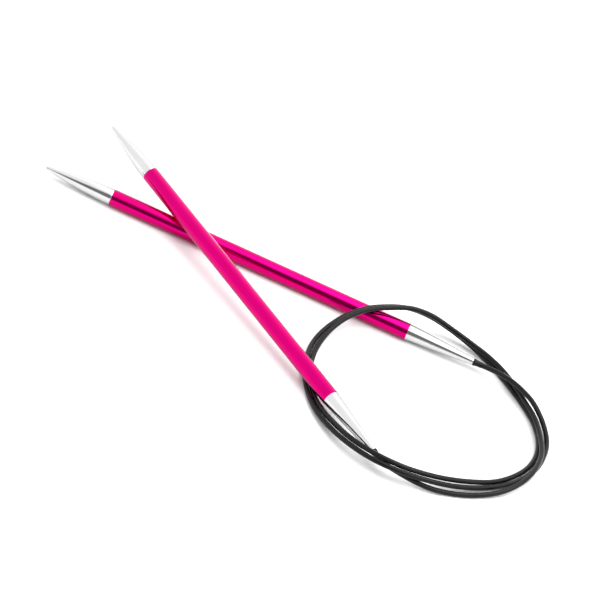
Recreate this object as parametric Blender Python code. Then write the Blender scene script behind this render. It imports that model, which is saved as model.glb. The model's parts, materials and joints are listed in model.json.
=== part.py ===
"""A circular knitting needle: two rigid aluminium needles joined by one thin nylon cable.

Metres, +Z up. The lower needle lies on the table along +X, the upper needle rests across it, and
the cable lies in a loose coil. Each needle turns freely about its own axis on a headed pin that
is fixed to the cable's end and held inside the needle's ferrule.
"""

import math

import bmesh
import bpy
from mathutils import Vector

MM = 0.001

# Needle, measured along its axis from its mouth, where the cable leaves it (x = 0), to its tip.
NEEDLE_LENGTH = 135.0 * MM
NEEDLE_RADIUS = 2.5 * MM
POINT_LENGTH = 21.0 * MM
FERRULE_LENGTH = 20.6 * MM
CONE_BASE_RADIUS = 2.46 * MM
TIP_RADIUS = 0.66 * MM
# 1 makes a straight cone, more than 1 sides that swell out
POINT_SWELL = 1.75
FERRULE_SWELL = 1.06
MOUTH_RADIUS = 1.05 * MM
JOINT_GAP = 0.05 * MM
TURNED_SIDES = 48

# Barrel tube and the spigots pressed into it.
BARREL_BORE_RADIUS = 1.95 * MM
BARREL_RIM = 0.22 * MM
SPIGOT_RADIUS = 1.89 * MM
SPIGOT_LENGTH = 9.0 * MM

# Swivel inside the ferrule.
PIN_SIDES = 32
PIN_RADIUS = 0.75 * MM
PIN_BORE_RADIUS = 0.83 * MM
PIN_OUTSIDE = 1.1 * MM
SHOULDER_DEPTH = 9.5 * MM
HEAD_RADIUS = 1.22 * MM
HEAD_THICKNESS = 1.2 * MM
COUNTERBORE_RADIUS = 1.30 * MM
END_PLAY = 0.1 * MM
WASHER_RADIUS = 1.26 * MM
WASHER_HOLE_RADIUS = 0.55 * MM
WASHER_THICKNESS = 1.2 * MM

# Black collar at the mouth.
COLLAR_SIDES = 32
COLLAR_START = 0.1 * MM
COLLAR_LENGTH = 2.6 * MM
COLLAR_RIM_RADIUS = 1.09 * MM
COLLAR_END_RADIUS = 0.86 * MM
COLLAR_BORE_RADIUS = 0.80 * MM

# Layout on the table.
LOWER_MOUTH = Vector((67.5 * MM, 18.4 * MM, NEEDLE_RADIUS * math.cos(math.pi / TURNED_SIDES)))
LOWER_DIRECTION = Vector((1.0, 0.0, 0.0))
UPPER_MOUTH = Vector((51.5 * MM, -40.3 * MM, 3.25 * MM))
UPPER_HEADING = math.radians(-37.0)
UPPER_FALL = math.radians(2.67)
UPPER_DIRECTION = Vector((
    math.cos(UPPER_FALL) * math.cos(UPPER_HEADING),
    math.cos(UPPER_FALL) * math.sin(UPPER_HEADING),
    -math.sin(UPPER_FALL),
))

# Cable.
CABLE_RADIUS = 0.75 * MM
CABLE_INSET = 1.4 * MM
CABLE_STRAIGHT = 3.2 * MM
CABLE_POINTS = 80
SAMPLES_PER_SPAN = 24
COIL_CENTRE = (59.1 * MM, -5.5 * MM)

# The loose coil as (angle in degrees about its centre, radius in mm, height of the centreline in mm),
# from the lower needle's mouth to the upper needle's. It climbs over the lower needle near 135 degrees
# on both turns, passes under the upper needle near -135 degrees, and crosses itself where the heights
# are over a cable's thickness apart.
COIL_STATIONS = (
    # from the lower needle, over two strands, to the outside
    (57, 27.2, 3.35), (50, 28.0, 4.1), (43, 29.2, 4.46), (36, 30.6, 4.47), (29, 32.5, 3.96),
    # first turn: on the table, over the strand inside it, and back down to the table
    (20, 35.0, 2.15), (8, 36.7, 1.05), (-4, 37.0, 0.77), (-16, 37.0, 0.75), (-28, 36.6, 0.75),
    (-40, 36.1, 0.85), (-52, 36.1, 1.42), (-64, 36.8, 2.31), (-76, 38.0, 3.36), (-88, 39.15, 3.98),
    (-100, 39.6, 3.85), (-112, 39.05, 3.16), (-124, 38.15, 2.17), (-136, 37.3, 1.3), (-148, 36.4, 0.8),
    (-160, 35.9, 0.75), (-172, 35.55, 0.75),
    # over the lower barrel and down again
    (-184, 35.5, 0.87), (-196, 35.2, 1.95), (-208, 34.5, 3.78), (-220, 33.6, 5.6), (-232, 32.8, 6.4),
    (-244, 33.1, 6.09), (-256, 33.2, 4.76), (-268, 33.0, 2.99), (-280, 32.8, 1.4), (-292, 31.8, 0.82),
    (-304, 30.9, 0.75), (-316, 30.7, 0.75),
    # second turn: inside the first, then up on to it
    (-328, 31.4, 0.75), (-340, 32.9, 0.75), (-352, 34.2, 0.75), (-364, 35.0, 0.75), (-376, 35.1, 0.75),
    (-388, 34.7, 0.78), (-400, 34.4, 1.1), (-412, 34.3, 1.94), (-424, 34.9, 2.84), (-436, 36.3, 3.98),
    (-448, 37.6, 4.7),
    # back to the table, and over the lower barrel on top of the first turn
    (-460, 38.2, 4.85), (-472, 37.8, 4.15), (-484, 36.7, 3.04), (-496, 35.6, 1.62), (-508, 34.8, 0.8),
    (-520, 34.3, 0.75), (-532, 33.95, 0.77), (-544, 33.8, 1.41), (-556, 33.6, 2.96), (-568, 33.1, 4.93),
    (-580, 32.0, 6.7), (-592, 31.2, 7.4), (-604, 31.6, 7.37), (-616, 31.9, 6.17),
    # third turn: lies on the second, crosses the first and ends at the upper needle
    (-628, 31.5, 4.46), (-640, 31.5, 3.1), (-652, 31.6, 2.47), (-664, 31.2, 2.41), (-676, 30.8, 2.4),
    (-688, 31.2, 2.4), (-700, 32.7, 2.42), (-712, 34.1, 2.49), (-724, 36.0, 2.44), (-736, 37.3, 2.5),
    (-748, 38.3, 2.17), (-760, 38.6, 1.35), (-772, 38.4, 0.86), (-784, 38.3, 0.84), (-796, 38.4, 1.43),
    (-814, 37.8, 2.95),
)


def clear_scene():
    for thing in list(bpy.data.objects):
        bpy.data.objects.remove(thing, do_unlink=True)


def material(name, color, metallic, roughness):
    made = bpy.data.materials.new(name)
    made.use_nodes = True
    shader = made.node_tree.nodes["Principled BSDF"]
    shader.inputs["Base Color"].default_value = (*color, 1.0)
    shader.inputs["Metallic"].default_value = metallic
    shader.inputs["Roughness"].default_value = roughness
    made.diffuse_color = (*color, 1.0)
    return made


def empty(name, location, direction):
    """An empty on a needle's axis at its mouth, with +X pointing out along the cable."""
    made = bpy.data.objects.new(name, None)
    made.rotation_mode = "QUATERNION"
    made.rotation_quaternion = direction.to_track_quat("X", "Z")
    made.location = location
    made.empty_display_size = 5 * MM
    bpy.context.collection.objects.link(made)
    return made


def turned(name, profile, sides, finish, parent):
    """A solid of revolution about local X. The profile is a closed loop of (x, radius) points."""
    bm = bmesh.new()
    start = math.pi / sides
    verts = [bm.verts.new((x, radius * math.sin(start), radius * math.cos(start))) for x, radius in profile]
    loop = [bm.edges.new((verts[i], verts[(i + 1) % len(verts)])) for i in range(len(verts))]
    on_axis = [edge for edge in loop if all(math.hypot(v.co.y, v.co.z) < 1e-9 for v in edge.verts)]
    bmesh.ops.delete(bm, geom=on_axis, context="EDGES_FACES")
    bmesh.ops.spin(
        bm, geom=bm.verts[:] + bm.edges[:], cent=(0, 0, 0), axis=(1, 0, 0), angle=2 * math.pi, steps=sides
    )
    bmesh.ops.remove_doubles(bm, verts=bm.verts[:], dist=1e-7)
    bmesh.ops.recalc_face_normals(bm, faces=bm.faces[:])
    mesh = bpy.data.meshes.new(name)
    bm.to_mesh(mesh)
    bm.free()
    mesh.shade_smooth()
    mesh.set_sharp_from_angle(angle=math.radians(35))
    mesh.materials.append(finish)
    made = bpy.data.objects.new(name, mesh)
    made.parent = parent
    bpy.context.collection.objects.link(made)
    return made


def rounded(corner, before, after, radius, steps=3):
    """Points that round a profile's corner, from the side of `before` to the side of `after`."""
    corner, before, after = Vector(corner), Vector(before), Vector(after)
    first = corner + (before - corner).normalized() * radius
    last = corner + (after - corner).normalized() * radius
    points = []
    for step in range(steps + 1):
        t = step / steps
        points.append(tuple(first * (1 - t) ** 2 + corner * (2 * t * (1 - t)) + last * t ** 2))
    return points


def taper(x_small, r_small, x_large, r_large, steps, swell):
    """Profile points of a cone whose sides swell out slightly, from its small end to its large one."""
    points = []
    for step in range(steps + 1):
        s = step / steps
        radius = r_small + (r_large - r_small) * (1 - (1 - s) ** swell)
        points.append((x_small + (x_large - x_small) * s, radius))
    return points


def point_profile():
    tip = -NEEDLE_LENGTH
    base = tip + POINT_LENGTH
    nose_end = tip + 0.75 * TIP_RADIUS
    nose = [(tip, 0.0)]
    nose.append((tip + 0.06 * TIP_RADIUS, 0.38 * TIP_RADIUS))
    nose.append((tip + 0.3 * TIP_RADIUS, 0.74 * TIP_RADIUS))
    cone = taper(nose_end, TIP_RADIUS, base - JOINT_GAP, CONE_BASE_RADIUS, steps=9, swell=POINT_SWELL)
    spigot_end = base + SPIGOT_LENGTH
    spigot = [(base - JOINT_GAP, SPIGOT_RADIUS), (spigot_end, SPIGOT_RADIUS), (spigot_end, 0.0)]
    return nose + cone + spigot


def barrel_profile():
    front = -NEEDLE_LENGTH + POINT_LENGTH
    back = -FERRULE_LENGTH
    corners = [
        (front, BARREL_BORE_RADIUS),
        (front, NEEDLE_RADIUS),
        (back, NEEDLE_RADIUS),
        (back, BARREL_BORE_RADIUS),
    ]
    front_rim = rounded(corners[1], corners[0], corners[2], BARREL_RIM)
    back_rim = rounded(corners[2], corners[1], corners[3], BARREL_RIM)
    return [corners[0]] + front_rim + back_rim + [corners[3]]


def ferrule_profile():
    base = -FERRULE_LENGTH + JOINT_GAP
    inner_end = -FERRULE_LENGTH - SPIGOT_LENGTH
    cone = taper(0.0, MOUTH_RADIUS, base, CONE_BASE_RADIUS, steps=6, swell=FERRULE_SWELL)
    spigot = [(base, SPIGOT_RADIUS), (inner_end, SPIGOT_RADIUS), (inner_end, COUNTERBORE_RADIUS)]
    bore = [
        (-SHOULDER_DEPTH, COUNTERBORE_RADIUS), (-SHOULDER_DEPTH, PIN_BORE_RADIUS), (0.0, PIN_BORE_RADIUS)
    ]
    return cone + spigot + bore


def pin_profile():
    head_front = -SHOULDER_DEPTH - END_PLAY
    head_back = head_front - HEAD_THICKNESS
    chamfer = 0.2 * MM
    return [
        (PIN_OUTSIDE, 0.0), (PIN_OUTSIDE, PIN_RADIUS - chamfer), (PIN_OUTSIDE - chamfer, PIN_RADIUS),
        (head_front, PIN_RADIUS), (head_front, HEAD_RADIUS), (head_back + chamfer, HEAD_RADIUS),
        (head_back, HEAD_RADIUS - chamfer), (head_back, 0.0),
    ]


def washer_profile():
    front = -SHOULDER_DEPTH - HEAD_THICKNESS - 2 * END_PLAY
    back = front - WASHER_THICKNESS
    return [
        (front, WASHER_HOLE_RADIUS),
        (front, WASHER_RADIUS),
        (back, WASHER_RADIUS),
        (back, WASHER_HOLE_RADIUS),
    ]


def collar_profile():
    end = COLLAR_START + COLLAR_LENGTH
    rim_end = COLLAR_START + 0.4 * MM
    corners = [
        (COLLAR_START, COLLAR_BORE_RADIUS),
        (COLLAR_START, COLLAR_RIM_RADIUS),
        (rim_end, COLLAR_RIM_RADIUS),
    ]
    rim = rounded(corners[1], corners[0], corners[2], 0.15 * MM)
    body = [(rim_end, COLLAR_RIM_RADIUS), (rim_end + 0.7 * MM, 0.93 * MM), (end, COLLAR_END_RADIUS)]
    return [corners[0]] + rim + body + [(end, COLLAR_BORE_RADIUS)]


def needle(prefix, mouth, direction, finishes):
    """All the pieces of one needle, with the cable's fittings at its mouth."""
    axis = empty(prefix + "_swivel_axis", mouth, direction)
    turned(prefix + "_point", point_profile(), TURNED_SIDES, finishes["aluminium"], axis)
    turned(prefix + "_barrel", barrel_profile(), TURNED_SIDES, finishes["anodised"], axis)
    turned(prefix + "_ferrule", ferrule_profile(), TURNED_SIDES, finishes["aluminium"], axis)
    turned(prefix + "_retaining_washer", washer_profile(), PIN_SIDES, finishes["steel"], axis)
    turned(prefix + "_swivel_pin", pin_profile(), PIN_SIDES, finishes["brass"], axis)
    turned(prefix + "_collar", collar_profile(), COLLAR_SIDES, finishes["nylon"], axis)


def coil_point(angle, radius, height):
    turn = math.radians(angle)
    x = COIL_CENTRE[0] + radius * MM * math.cos(turn)
    y = COIL_CENTRE[1] + radius * MM * math.sin(turn)
    return Vector((x, y, height * MM))


def lead(mouth, direction):
    """The cable's straight stretch at a needle's mouth, from inside the collar outwards."""
    return [mouth + direction * CABLE_INSET, mouth + direction * CABLE_STRAIGHT]


def smooth_curve(points):
    """A dense curve through the points: a centripetal Catmull-Rom spline."""
    ends = [points[0] * 2 - points[1]] + points + [points[-1] * 2 - points[-2]]
    dense = []
    for i in range(1, len(ends) - 2):
        around = ends[i - 1:i + 3]
        knots = [0.0]
        for a, b in zip(around, around[1:]):
            knots.append(knots[-1] + math.sqrt((b - a).length))
        for step in range(SAMPLES_PER_SPAN):
            t = knots[1] + (knots[2] - knots[1]) * step / SAMPLES_PER_SPAN
            level = list(around)
            for span in (1, 2, 3):
                level = [
                    level[j].lerp(level[j + 1], weight(t, knots, j, span)) for j in range(len(level) - 1)
                ]
            dense.append(level[0])
    return dense + [points[-1]]


def weight(t, knots, j, span):
    """How far t lies between the two knots that a blend at this level of the spline runs over."""
    first = {1: (0, 1, 2), 2: (0, 1), 3: (1,)}[span][j]
    last = first + (1 if span != 2 else 2)
    return (t - knots[first]) / (knots[last] - knots[first])


def evenly_spaced(dense, count):
    """That many points of the dense curve at equal distances along it."""
    along = [0.0]
    for a, b in zip(dense, dense[1:]):
        along.append(along[-1] + (b - a).length)
    points = []
    span = 0
    for i in range(count):
        wanted = along[-1] * i / (count - 1)
        while span < len(dense) - 2 and along[span + 1] < wanted:
            span += 1
        part = (wanted - along[span]) / (along[span + 1] - along[span])
        points.append(dense[span].lerp(dense[span + 1], part))
    return points


def cable_route():
    """The cable's centreline: a straight stretch in each collar, and the coil between them."""
    lower_end, lower_lead = lead(LOWER_MOUTH, LOWER_DIRECTION)
    upper_end, upper_lead = lead(UPPER_MOUTH, UPPER_DIRECTION)
    coil = [coil_point(*station) for station in COIL_STATIONS]
    between = evenly_spaced(smooth_curve([lower_lead] + coil + [upper_lead]), CABLE_POINTS - 2)
    for place in between:
        place.z = max(place.z, CABLE_RADIUS)
    return [lower_end] + between + [upper_end]


def cable(finish):
    points = cable_route()
    curve = bpy.data.curves.new("cable", "CURVE")
    curve.dimensions = "3D"
    curve.bevel_depth = CABLE_RADIUS
    curve.bevel_resolution = 2
    curve.use_fill_caps = True
    spline = curve.splines.new("POLY")
    spline.points.add(len(points) - 1)
    for spot, place in zip(spline.points, points):
        spot.co = (*place, 1.0)
    spline.use_smooth = True
    curve.materials.append(finish)
    made = bpy.data.objects.new("cable", curve)
    bpy.context.collection.objects.link(made)


def main():
    clear_scene()
    finishes = {
        "aluminium": material("polished aluminium", (0.88, 0.88, 0.89), 1.0, 0.22),
        "anodised": material("magenta anodised aluminium", (0.80, 0.01, 0.22), 0.9, 0.28),
        "nylon": material("black nylon", (0.022, 0.022, 0.024), 0.0, 0.42),
        "brass": material("brass", (0.72, 0.52, 0.22), 1.0, 0.3),
        "steel": material("spring steel", (0.56, 0.57, 0.58), 1.0, 0.35),
    }
    needle("lower", LOWER_MOUTH, LOWER_DIRECTION, finishes)
    needle("upper", UPPER_MOUTH, UPPER_DIRECTION, finishes)
    cable(finishes["nylon"])


main()
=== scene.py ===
"""Looks of the circular knitting needle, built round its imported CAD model."""

import json
import math

import bmesh
import bpy
from mathutils import Matrix, Vector

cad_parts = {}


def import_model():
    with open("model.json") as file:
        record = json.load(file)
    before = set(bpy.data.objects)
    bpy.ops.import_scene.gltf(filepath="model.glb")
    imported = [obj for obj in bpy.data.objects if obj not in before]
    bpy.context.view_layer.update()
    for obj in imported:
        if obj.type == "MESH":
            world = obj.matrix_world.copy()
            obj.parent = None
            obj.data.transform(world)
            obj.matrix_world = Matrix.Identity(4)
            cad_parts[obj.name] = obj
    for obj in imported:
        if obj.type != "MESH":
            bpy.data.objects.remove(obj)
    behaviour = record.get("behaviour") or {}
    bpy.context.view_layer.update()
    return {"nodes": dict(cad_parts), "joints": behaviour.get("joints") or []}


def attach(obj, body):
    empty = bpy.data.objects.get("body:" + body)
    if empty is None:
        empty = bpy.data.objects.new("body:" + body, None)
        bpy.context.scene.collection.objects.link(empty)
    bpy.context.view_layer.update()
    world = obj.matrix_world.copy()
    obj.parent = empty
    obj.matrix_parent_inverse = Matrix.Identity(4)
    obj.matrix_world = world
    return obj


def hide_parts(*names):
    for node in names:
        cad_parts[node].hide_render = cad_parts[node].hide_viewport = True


MM = 0.001

# The needle's own measures. x runs along its axis: the mouth, where the cable leaves it, is at 0, and the
# tip is at -NEEDLE_LENGTH.
NEEDLE_LENGTH = 135.0 * MM
BARREL_RADIUS = 2.494 * MM
POINT_LENGTH = 21.0 * MM
FERRULE_LENGTH = 20.6 * MM
CONE_BASE_RADIUS = 2.455 * MM
TIP_RADIUS = 0.66 * MM
# 1 makes a straight cone, more than 1 sides that swell out.
POINT_SWELL = 1.75
FERRULE_SWELL = 1.06
MOUTH_RADIUS = 1.05 * MM
MOUTH_HOLE_RADIUS = 0.83 * MM
JOINT_GAP = 0.05 * MM
NOSE_LENGTH = 0.75 * TIP_RADIUS
NOSE_END_ANGLE = math.radians(85)
NOSE_STEPS = 9
POINT_STEPS = 32
FERRULE_STEPS = 24
SPIGOT_RADIUS = 1.9 * MM
SPIGOT_LENGTH = 2.0 * MM
BARREL_BORE_RADIUS = 1.95 * MM
BARREL_RIM = 0.2 * MM
# The edges broken where the cones meet the barrel, and the rounded lip of the ferrule's mouth.
POINT_EDGE = 0.25 * MM
FERRULE_EDGE = 0.2 * MM
EDGE_DROP = 0.06 * MM
LIP_RADIUS = 0.12 * MM
LIP_RISE_PER_MM = 0.07 * MM

# Collar: a flared rim at the ferrule's mouth, then a neck close round the cable.
COLLAR_START = 0.05 * MM
COLLAR_RIM_END = 0.4 * MM
COLLAR_RIM_RADIUS = 1.09 * MM
COLLAR_RIM_ROUND = 0.12 * MM
COLLAR_NECK = (1.2 * MM, 0.88 * MM)
COLLAR_NECK_ROUND = 0.6 * MM
COLLAR_END = 2.75 * MM
COLLAR_END_RADIUS = 0.84 * MM
COLLAR_END_ROUND = 0.04 * MM
COLLAR_BORE_RADIUS = 0.8 * MM

# Mesh making.
TURNED_SIDES = 160
ON_AXIS = 1e-9
MERGE_DISTANCE = 1e-7
SHARP_ANGLE = math.radians(30)

# Cable.
CABLE_RADIUS = 0.75 * MM
CABLE_SIDES = 20
CABLE_INSET = 1.4 * MM
CABLE_STRAIGHT = 3.2 * MM
CABLE_STEP = 0.5 * MM
TABLE_CLEARANCE = 0.01 * MM
SAMPLES_PER_SPAN = 24
COIL_CENTRE = (59.1 * MM, -5.5 * MM)

# The coil as (angle in degrees about its centre, radius in mm, height of the centreline in mm), from
# the lower needle's mouth to the upper needle's: the CAD model's own route.
COIL_STATIONS = (
    # from the lower needle, over two strands, to the outside
    (57, 27.2, 3.35), (50, 28.0, 4.1), (43, 29.2, 4.46), (36, 30.6, 4.47), (29, 32.5, 3.96),
    # first turn: on the table, over the strand inside it, and back down to the table
    (20, 35.0, 2.15), (8, 36.7, 1.05), (-4, 37.0, 0.77), (-16, 37.0, 0.75), (-28, 36.6, 0.75),
    (-40, 36.1, 0.85), (-52, 36.1, 1.42), (-64, 36.8, 2.31), (-76, 38.0, 3.36), (-88, 39.15, 3.98),
    (-100, 39.6, 3.85), (-112, 39.05, 3.16), (-124, 38.15, 2.17), (-136, 37.3, 1.3), (-148, 36.4, 0.8),
    (-160, 35.9, 0.75), (-172, 35.55, 0.75),
    # over the lower barrel and down again
    (-184, 35.5, 0.87), (-196, 35.2, 1.95), (-208, 34.5, 3.78), (-220, 33.6, 5.6), (-232, 32.8, 6.4),
    (-244, 33.1, 6.09), (-256, 33.2, 4.76), (-268, 33.0, 2.99), (-280, 32.8, 1.4), (-292, 31.8, 0.82),
    (-304, 30.9, 0.75), (-316, 30.7, 0.75),
    # second turn: inside the first, then up on to it
    (-328, 31.4, 0.75), (-340, 32.9, 0.75), (-352, 34.2, 0.75), (-364, 35.0, 0.75), (-376, 35.1, 0.75),
    (-388, 34.7, 0.78), (-400, 34.4, 1.1), (-412, 34.3, 1.94), (-424, 34.9, 2.84), (-436, 36.3, 3.98),
    (-448, 37.6, 4.7),
    # back to the table, and over the lower barrel on top of the first turn
    (-460, 38.2, 4.85), (-472, 37.8, 4.15), (-484, 36.7, 3.04), (-496, 35.6, 1.62), (-508, 34.8, 0.8),
    (-520, 34.3, 0.75), (-532, 33.95, 0.77), (-544, 33.8, 1.41), (-556, 33.6, 2.96), (-568, 33.1, 4.93),
    (-580, 32.0, 6.7), (-592, 31.2, 7.4), (-604, 31.6, 7.37), (-616, 31.9, 6.17),
    # third turn: lies on the second, crosses the first and ends at the upper needle
    (-628, 31.5, 4.46), (-640, 31.5, 3.1), (-652, 31.6, 2.47), (-664, 31.2, 2.41), (-676, 30.8, 2.4),
    (-688, 31.2, 2.4), (-700, 32.7, 2.42), (-712, 34.1, 2.49), (-724, 36.0, 2.44), (-736, 37.3, 2.5),
    (-748, 38.3, 2.17), (-760, 38.6, 1.35), (-772, 38.4, 0.86), (-784, 38.3, 0.84), (-796, 38.4, 1.43),
    (-814, 37.8, 2.95),
)

CAMERA_POSITION = (39.72 * MM, -799.14 * MM, 587.07 * MM)
CAMERA_TURN = math.radians(1.74)
CAMERA_TILT = math.radians(54.19)
CAMERA_ROLL = math.radians(23.45)
CAMERA_LENS = 210.0
SENSOR_WIDTH = 36.0
CAMERA_NEAR = 0.05
CAMERA_FAR = 50.0

# Texture scales in noise cells per metre, along a turned piece's axis and across it.
TURNING_RINGS = (9000.0, 60.0, 60.0)
POLISHING_HAZE = (120.0, 500.0, 500.0)
DRAWN_LINES = (18.0, 5200.0, 5200.0)
ANODISED_HAZE = (60.0, 300.0, 300.0)
MOULDED_GRAIN = (4000.0, 4000.0, 4000.0)
MOULDED_RIDGES = (700.0, 1500.0, 1500.0)
HIDDEN_GRAIN = (3000.0, 3000.0, 3000.0)
# On the cable: cells per mm along it, and per turn round it.
CABLE_GRAIN = (1.2, 24.0, 1.0)
CABLE_RIDGES = (0.12, 7.0, 1.0)

# Heights of the surface detail, in metres.
RING_DEPTH = 0.000004
GRAIN_DEPTH = 0.00002
RIDGE_DEPTH = 0.00012

# The part of a noise's values that is stretched over the whole range.
NOISE_MIDDLE = (0.3, 0.7)

# Roughness, from the smoothest spots to the roughest.
POLISHED = (0.10, 0.15)
SATIN = (0.13, 0.18)
NYLON_SHEEN = (0.16, 0.40)
BRASS_TURNED = (0.25, 0.35)
STEEL_ROLLED = (0.30, 0.40)

# Colours: the two that the texture mixes.
ALUMINIUM = ((0.56, 0.56, 0.57), (0.60, 0.60, 0.60))
ALUMINIUM_EDGE = (0.72, 0.72, 0.73, 1.0)
MAGENTA = ((0.50, 0.0012, 0.128), (0.56, 0.0018, 0.145))
NYLON = ((0.001, 0.001, 0.001), (0.006, 0.0055, 0.006))
NYLON_GLOSS = 0.2
BRASS = ((0.72, 0.52, 0.22), (0.612, 0.442, 0.187))
STEEL = ((0.56, 0.57, 0.58), (0.476, 0.4845, 0.493))
FLOOR_COLOR = (0.90, 0.90, 0.895, 1.0)
FLOOR_HALF_SIZE = 3.0

# Light. Each patch of the tent is a direction, and the two angles from it, in degrees, between which the
# patch fades out.
TENT_STRENGTH = 1.4
OVERHEAD_PATCH = ((0.40, 0.0, 1.0), 16.0, 36.0)
OVERHEAD_STRENGTH = 2.6
BACK_PATCH = ((0.0, 1.0, 1.0), 8.0, 50.0)
BACK_STRENGTH = 0.35
OPENING_ELEVATION = math.radians(31)
OPENING_FADE = (20.0, 29.0)
OPENING_DARKNESS = 0.82


def add_camera():
    data = bpy.data.cameras.new("camera")
    data.lens = CAMERA_LENS
    data.sensor_width = SENSOR_WIDTH
    data.clip_start = CAMERA_NEAR
    data.clip_end = CAMERA_FAR
    camera = bpy.data.objects.new("camera", data)
    turn = Matrix.Rotation(CAMERA_TURN, 4, "Z")
    tilt = Matrix.Rotation(CAMERA_TILT, 4, "X")
    roll = Matrix.Rotation(CAMERA_ROLL, 4, "Z")
    camera.matrix_world = Matrix.Translation(CAMERA_POSITION) @ turn @ tilt @ roll
    bpy.context.scene.collection.objects.link(camera)
    bpy.context.scene.camera = camera


# ---- shapes ----


def turned(name, profile, sides=TURNED_SIDES):
    """A solid of revolution about local X from a closed loop of (x, radius) points."""
    bm = bmesh.new()
    verts = [bm.verts.new((x, 0.0, radius)) for x, radius in profile]
    loop = [bm.edges.new((verts[i], verts[(i + 1) % len(verts)])) for i in range(len(verts))]
    on_axis = [edge for edge in loop if all(v.co.z < ON_AXIS for v in edge.verts)]
    bmesh.ops.delete(bm, geom=on_axis, context="EDGES_FACES")
    bmesh.ops.spin(
        bm, geom=bm.verts[:] + bm.edges[:], cent=(0, 0, 0), axis=(1, 0, 0),
        angle=2 * math.pi, steps=sides,
    )
    bmesh.ops.remove_doubles(bm, verts=bm.verts[:], dist=MERGE_DISTANCE)
    bmesh.ops.recalc_face_normals(bm, faces=bm.faces[:])
    mesh = bpy.data.meshes.new(name)
    bm.to_mesh(mesh)
    bm.free()
    mesh.shade_smooth()
    mesh.set_sharp_from_angle(angle=SHARP_ANGLE)
    made = bpy.data.objects.new(name, mesh)
    bpy.context.scene.collection.objects.link(made)
    return made


def rounded(corner, before, after, radius, steps=6):
    """Points that round a profile's corner, from the side of `before` to the side of `after`."""
    corner, before, after = Vector(corner), Vector(before), Vector(after)
    first = corner + (before - corner).normalized() * radius
    last = corner + (after - corner).normalized() * radius
    points = []
    for step in range(steps + 1):
        t = step / steps
        points.append(tuple(first * (1 - t) ** 2 + corner * (2 * t * (1 - t)) + last * t ** 2))
    return points


def taper(x_small, r_small, x_large, r_large, steps, swell):
    """Profile points of a cone whose sides swell out, from its small end to its large one."""
    points = []
    for step in range(steps + 1):
        s = step / steps
        radius = r_small + (r_large - r_small) * (1 - (1 - s) ** swell)
        points.append((x_small + (x_large - x_small) * s, radius))
    return points


def point_profile():
    tip = -NEEDLE_LENGTH
    base = tip + POINT_LENGTH
    nose = []
    for step in range(NOSE_STEPS + 1):
        a = NOSE_END_ANGLE * step / NOSE_STEPS
        nose.append((tip + NOSE_LENGTH * (1 - math.cos(a)), TIP_RADIUS * math.sin(a)))
    cone = taper(
        tip + NOSE_LENGTH, TIP_RADIUS, base - POINT_EDGE, CONE_BASE_RADIUS,
        steps=POINT_STEPS, swell=POINT_SWELL,
    )
    edge = [(base - JOINT_GAP, CONE_BASE_RADIUS - EDGE_DROP), (base - JOINT_GAP, SPIGOT_RADIUS)]
    return nose + cone + edge + [(base + SPIGOT_LENGTH, SPIGOT_RADIUS), (base + SPIGOT_LENGTH, 0.0)]


def barrel_profile():
    front = -NEEDLE_LENGTH + POINT_LENGTH
    back = -FERRULE_LENGTH
    corners = [
        (front, BARREL_BORE_RADIUS),
        (front, BARREL_RADIUS),
        (back, BARREL_RADIUS),
        (back, BARREL_BORE_RADIUS),
    ]
    front_rim = rounded(corners[1], corners[0], corners[2], BARREL_RIM)
    back_rim = rounded(corners[2], corners[1], corners[3], BARREL_RIM)
    return [corners[0]] + front_rim + back_rim + [corners[3]]


def ferrule_profile():
    base = -FERRULE_LENGTH + JOINT_GAP
    inner_end = base - SPIGOT_LENGTH
    lip = rounded((0.0, MOUTH_RADIUS), (-MM, MOUTH_RADIUS + LIP_RISE_PER_MM), (0.0, 0.0), LIP_RADIUS)
    cone = taper(
        -FERRULE_EDGE, MOUTH_RADIUS + LIP_RISE_PER_MM * FERRULE_EDGE / MM,
        base - FERRULE_EDGE, CONE_BASE_RADIUS, steps=FERRULE_STEPS, swell=FERRULE_SWELL,
    )
    end = [(base, CONE_BASE_RADIUS - EDGE_DROP), (base, SPIGOT_RADIUS), (inner_end, SPIGOT_RADIUS)]
    bore = [(inner_end, MOUTH_HOLE_RADIUS), (0.0, MOUTH_HOLE_RADIUS)]
    return lip[::-1] + cone + end + bore


def collar_profile():
    first = (COLLAR_START, COLLAR_BORE_RADIUS)
    rim = ((COLLAR_START, COLLAR_RIM_RADIUS), (COLLAR_RIM_END, COLLAR_RIM_RADIUS))
    end = (COLLAR_END, COLLAR_END_RADIUS)
    last = (COLLAR_END, COLLAR_BORE_RADIUS)
    front = rounded(rim[0], first, rim[1], COLLAR_RIM_ROUND)
    back = rounded(rim[1], rim[0], COLLAR_NECK, COLLAR_RIM_ROUND)
    body = rounded(COLLAR_NECK, rim[1], end, COLLAR_NECK_ROUND)
    tail = rounded(end, COLLAR_NECK, last, COLLAR_END_ROUND)
    return [first] + front + back + body + tail + [last]


# ---- cable ----


def coil_point(angle, radius, height):
    turn = math.radians(angle)
    x = COIL_CENTRE[0] + radius * MM * math.cos(turn)
    y = COIL_CENTRE[1] + radius * MM * math.sin(turn)
    return Vector((x, y, height * MM))


def weight(t, knots, j, span):
    """How far t lies between the two knots that a blend at this level of the spline runs over."""
    first = {1: (0, 1, 2), 2: (0, 1), 3: (1,)}[span][j]
    last = first + (1 if span != 2 else 2)
    return (t - knots[first]) / (knots[last] - knots[first])


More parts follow.
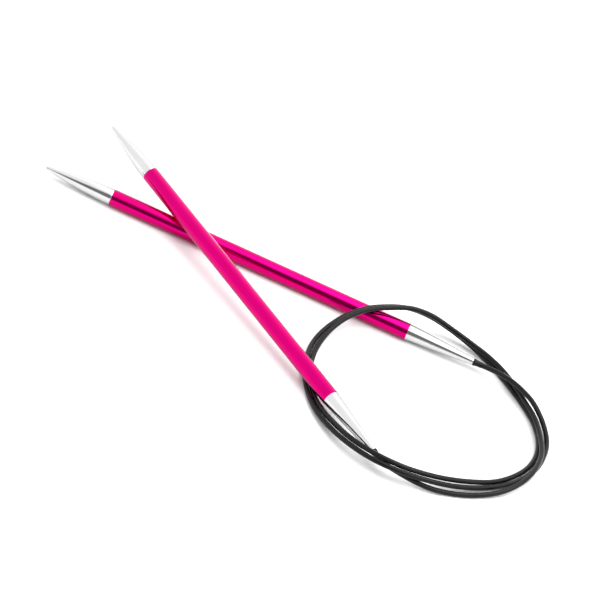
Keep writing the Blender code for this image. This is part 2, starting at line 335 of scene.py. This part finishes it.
def smooth_curve(points):
    """A dense curve through the points: a centripetal Catmull-Rom spline."""
    ends = [points[0] * 2 - points[1]] + points + [points[-1] * 2 - points[-2]]
    dense = []
    for i in range(1, len(ends) - 2):
        around = ends[i - 1:i + 3]
        knots = [0.0]
        for a, b in zip(around, around[1:]):
            knots.append(knots[-1] + math.sqrt((b - a).length))
        for step in range(SAMPLES_PER_SPAN):
            t = knots[1] + (knots[2] - knots[1]) * step / SAMPLES_PER_SPAN
            level = list(around)
            for span in (1, 2, 3):
                level = [
                    level[j].lerp(level[j + 1], weight(t, knots, j, span))
                    for j in range(len(level) - 1)
                ]
            dense.append(level[0])
    return dense + [points[-1]]


def evenly_spaced(dense, count):
    """That many points of the dense curve at equal distances along it."""
    along = [0.0]
    for a, b in zip(dense, dense[1:]):
        along.append(along[-1] + (b - a).length)
    points = []
    span = 0
    for i in range(count):
        wanted = along[-1] * i / (count - 1)
        while span < len(dense) - 2 and along[span + 1] < wanted:
            span += 1
        part = (wanted - along[span]) / (along[span + 1] - along[span])
        points.append(dense[span].lerp(dense[span + 1], part))
    return points, along[-1]


def cable_route(lower, upper):
    """The cable's centreline, from inside the lower needle's collar to inside the upper needle's."""
    ends = []
    for mouth, direction in (lower, upper):
        ends.append([mouth + direction * CABLE_INSET, mouth + direction * CABLE_STRAIGHT])
    coil = [coil_point(*station) for station in COIL_STATIONS]
    dense = smooth_curve([ends[0][1]] + coil + [ends[1][1]])
    for place in dense:
        place.z = max(place.z, CABLE_RADIUS + TABLE_CLEARANCE)
    dense = [ends[0][0]] + dense + [ends[1][0]]
    length = sum((b - a).length for a, b in zip(dense, dense[1:]))
    return evenly_spaced(dense, int(length / CABLE_STEP) + 1)


def tube(name, path, radius, sides):
    """A round tube along a dense path, with u along it in mm and v once round it."""
    bm = bmesh.new()
    layer = bm.loops.layers.uv.new("along")
    rings = []
    side = Vector((0, 0, 1))
    for i, place in enumerate(path):
        ahead = path[min(i + 1, len(path) - 1)] - path[max(i - 1, 0)]
        ahead.normalize()
        side = (side - ahead * side.dot(ahead)).normalized()
        other = ahead.cross(side)
        ring = []
        for k in range(sides):
            a = 2 * math.pi * k / sides
            ring.append(bm.verts.new(place + (side * math.cos(a) + other * math.sin(a)) * radius))
        rings.append(ring)
    step = (path[1] - path[0]).length / MM
    for i in range(len(rings) - 1):
        for k in range(sides):
            n = (k + 1) % sides
            face = bm.faces.new((rings[i][k], rings[i + 1][k], rings[i + 1][n], rings[i][n]))
            along = (i * step, (i + 1) * step, (i + 1) * step, i * step)
            around = (k / sides, k / sides, (k + 1) / sides, (k + 1) / sides)
            for loop, u, v in zip(face.loops, along, around):
                loop[layer].uv = (u, v)
    bm.faces.new(rings[0])
    bm.faces.new(rings[-1][::-1])
    bmesh.ops.recalc_face_normals(bm, faces=bm.faces[:])
    mesh = bpy.data.meshes.new(name)
    bm.to_mesh(mesh)
    bm.free()
    mesh.shade_smooth()
    made = bpy.data.objects.new(name, mesh)
    bpy.context.scene.collection.objects.link(made)
    return made


# ---- materials ----


def new_material(name):
    made = bpy.data.materials.new(name)
    made.use_nodes = True
    return made, made.node_tree, made.node_tree.nodes["Principled BSDF"]


def node(tree, kind, inputs=None, **settings):
    made = tree.nodes.new(kind)
    for key, value in settings.items():
        setattr(made, key, value)
    for key, value in (inputs or {}).items():
        if isinstance(value, bpy.types.NodeSocket):
            tree.links.new(value, made.inputs[key])
        else:
            made.inputs[key].default_value = value
    return made


def mapped(tree, scale, source):
    """Texture coordinates of the piece itself, stretched by scale."""
    coordinates = node(tree, "ShaderNodeTexCoord").outputs[source]
    return node(tree, "ShaderNodeMapping", {"Vector": coordinates, "Scale": scale}).outputs[0]


def noise(tree, scale, detail=3.0, source="Object"):
    inputs = {"Vector": mapped(tree, scale, source), "Scale": 1.0, "Detail": detail, "Roughness": 0.55}
    return node(tree, "ShaderNodeTexNoise", inputs).outputs["Fac"]


def spread(tree, value, low, high):
    """Maps a noise's middle range to low..high."""
    inputs = {"Value": value, "To Min": low, "To Max": high}
    inputs["From Min"], inputs["From Max"] = NOISE_MIDDLE
    return node(tree, "ShaderNodeMapRange", inputs).outputs[0]


def mixed(tree, value, colors):
    """Mixes two colours by a noise's middle range."""
    made = node(tree, "ShaderNodeMix", {"Factor": spread(tree, value, 0.0, 1.0)}, data_type="RGBA")
    made.inputs["A"].default_value = (*colors[0], 1.0)
    made.inputs["B"].default_value = (*colors[1], 1.0)
    return made.outputs["Result"]


def bumped(tree, shader, height, distance, strength, under=None):
    inputs = {"Height": height, "Distance": distance, "Strength": strength}
    if under is not None:
        inputs["Normal"] = under
    made = node(tree, "ShaderNodeBump", inputs)
    tree.links.new(made.outputs[0], shader.inputs["Normal"])
    return made.outputs[0]


def polished_aluminium():
    """Turned and polished: very fine rings round the axis, and a faint haze that varies."""
    made, tree, shader = new_material("polished_aluminium")
    shader.inputs["Metallic"].default_value = 1.0
    shader.inputs["Specular Tint"].default_value = ALUMINIUM_EDGE
    rings = noise(tree, TURNING_RINGS, detail=2.0)
    haze = noise(tree, POLISHING_HAZE, detail=4.0)
    tree.links.new(spread(tree, haze, *POLISHED), shader.inputs["Roughness"])
    tree.links.new(mixed(tree, haze, ALUMINIUM), shader.inputs["Base Color"])
    bumped(tree, shader, rings, RING_DEPTH, strength=0.25)
    return made


def anodised_aluminium():
    """Drawn tube, dyed magenta: fine lines along the axis, and a satin haze that varies."""
    made, tree, shader = new_material("magenta_anodised_aluminium")
    shader.inputs["Metallic"].default_value = 1.0
    lines = noise(tree, DRAWN_LINES)
    haze = noise(tree, ANODISED_HAZE, detail=4.0)
    tree.links.new(spread(tree, haze, *SATIN), shader.inputs["Roughness"])
    tree.links.new(mixed(tree, haze, MAGENTA), shader.inputs["Base Color"])
    bumped(tree, shader, lines, RING_DEPTH, strength=0.3)
    return made


def black_nylon(name, source, grain_scale, ridge_scale):
    """Black nylon with a soft gloss: shallow ridges and a fine grain, drawn out along the piece."""
    made, tree, shader = new_material(name)
    shader.inputs["Specular IOR Level"].default_value = NYLON_GLOSS
    grain = noise(tree, grain_scale, source=source)
    ridges = noise(tree, ridge_scale, detail=2.0, source=source)
    tree.links.new(mixed(tree, ridges, NYLON), shader.inputs["Base Color"])
    tree.links.new(spread(tree, ridges, *NYLON_SHEEN), shader.inputs["Roughness"])
    ridged = bumped(tree, shader, ridges, RIDGE_DEPTH, strength=0.8)
    bumped(tree, shader, grain, GRAIN_DEPTH, strength=0.5, under=ridged)
    return made


def hidden_metal(name, colors, roughness):
    made, tree, shader = new_material(name)
    shader.inputs["Metallic"].default_value = 1.0
    grain = noise(tree, HIDDEN_GRAIN)
    tree.links.new(mixed(tree, grain, colors), shader.inputs["Base Color"])
    tree.links.new(spread(tree, grain, *roughness), shader.inputs["Roughness"])
    return made


# ---- floor and light ----


def add_floor():
    bm = bmesh.new()
    bmesh.ops.create_grid(bm, x_segments=1, y_segments=1, size=FLOOR_HALF_SIZE)
    mesh = bpy.data.meshes.new("floor")
    bm.to_mesh(mesh)
    bm.free()
    floor = bpy.data.objects.new("floor", mesh)
    bpy.context.scene.collection.objects.link(floor)
    made, _, shader = new_material("floor")
    shader.inputs["Base Color"].default_value = FLOOR_COLOR
    shader.inputs["Roughness"].default_value = 1.0
    shader.inputs["Specular IOR Level"].default_value = 0.0
    mesh.materials.append(made)


def lobe(tree, direction, centre, inner, outer):
    """1 within the inner angle of a direction on the sky, in degrees, falling to 0 at the outer one."""
    unit = Vector(centre).normalized()
    dot = node(tree, "ShaderNodeVectorMath", {0: direction, 1: tuple(unit)}, operation="DOT_PRODUCT")
    inputs = {
        "Value": dot.outputs["Value"],
        "From Min": math.cos(math.radians(outer)),
        "From Max": math.cos(math.radians(inner)),
    }
    return node(tree, "ShaderNodeMapRange", inputs, interpolation_type="SMOOTHSTEP").outputs[0]


def multiply_add(tree, value, factor, addend):
    inputs = {0: value, 1: factor, 2: addend}
    return node(tree, "ShaderNodeMath", inputs, operation="MULTIPLY_ADD").outputs[0]


def add_light():
    """A white tent with a large soft light overhead and an opening in front."""
    world = bpy.data.worlds.new("tent")
    world.use_nodes = True
    bpy.context.scene.world = world
    tree = world.node_tree
    background = tree.nodes["Background"]
    coordinates = node(tree, "ShaderNodeTexCoord").outputs["Generated"]
    unit = node(tree, "ShaderNodeVectorMath", {0: coordinates}, operation="NORMALIZE")
    direction = unit.outputs["Vector"]
    overhead = lobe(tree, direction, *OVERHEAD_PATCH)
    back = lobe(tree, direction, *BACK_PATCH)
    front = (0.0, -math.cos(OPENING_ELEVATION), math.sin(OPENING_ELEVATION))
    opening = lobe(tree, direction, front, *OPENING_FADE)
    lit = multiply_add(tree, back, BACK_STRENGTH, TENT_STRENGTH)
    lit = multiply_add(tree, overhead, OVERHEAD_STRENGTH, lit)
    open_part = multiply_add(tree, opening, -OPENING_DARKNESS, 1.0)
    strength = node(tree, "ShaderNodeMath", {0: lit, 1: open_part}, operation="MULTIPLY").outputs[0]
    tree.links.new(strength, background.inputs["Strength"])
    background.inputs["Color"].default_value = (1.0, 1.0, 1.0, 1.0)
    bpy.context.scene.view_settings.view_transform = "Standard"


# ---- the object ----


def place_on_axis(piece, mouth, direction):
    piece.rotation_mode = "QUATERNION"
    piece.rotation_quaternion = direction.to_track_quat("X", "Z")
    piece.location = mouth


def dress(piece, finish, body, slot, *nodes):
    piece.data.materials.append(finish)
    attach(piece, body)
    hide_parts(*nodes)


def build_needle(side, mouth, direction, finishes):
    parts = (
        ("point", point_profile(), "aluminium", side + "_needle", "polished aluminium"),
        ("barrel", barrel_profile(), "anodised", side + "_needle", "magenta anodised aluminium"),
        ("ferrule", ferrule_profile(), "aluminium", side + "_needle", "polished aluminium"),
        ("collar", collar_profile(), "collar", "cable_body", "black nylon"),
    )
    made = {}
    for part, profile, finish, body, slot in parts:
        piece = turned(f"{side}_{part}_turned", profile)
        place_on_axis(piece, mouth, direction)
        dress(piece, finishes[finish], body, slot, f"{side}_{part}")
        made[part] = piece
    return made


def main():
    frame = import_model()
    add_camera()
    axes = {}
    for joint in frame["joints"]:
        axes[joint["name"]] = (Vector(joint["pos_m"]), Vector(joint["axis"]))
    lower, upper = axes["lower_swivel"], axes["upper_swivel"]
    finishes = {
        "aluminium": polished_aluminium(),
        "anodised": anodised_aluminium(),
        "cable": black_nylon("black_nylon_cable", "UV", CABLE_GRAIN, CABLE_RIDGES),
        "collar": black_nylon("black_nylon_collar", "Object", MOULDED_GRAIN, MOULDED_RIDGES),
        "brass": hidden_metal("turned_brass", BRASS, BRASS_TURNED),
        "steel": hidden_metal("spring_steel", STEEL, STEEL_ROLLED),
    }
    needles = {
        "lower": build_needle("lower", *lower, finishes),
        "upper": build_needle("upper", *upper, finishes),
    }

    path, length = cable_route(lower, upper)
    cable = tube("cable_drawn", path, CABLE_RADIUS, CABLE_SIDES)
    dress(cable, finishes["cable"], "cable_body", "black nylon", "cable")
    fittings = [needles[side]["collar"] for side in needles]
    fittings += [frame["nodes"][side + "_swivel_pin"] for side in needles]

    for side in needles:
        for part, finish in (("swivel_pin", "brass"), ("retaining_washer", "steel")):
            frame["nodes"][f"{side}_{part}"].material_slots[0].material = finishes[finish]

    add_floor()
    add_light()


main()
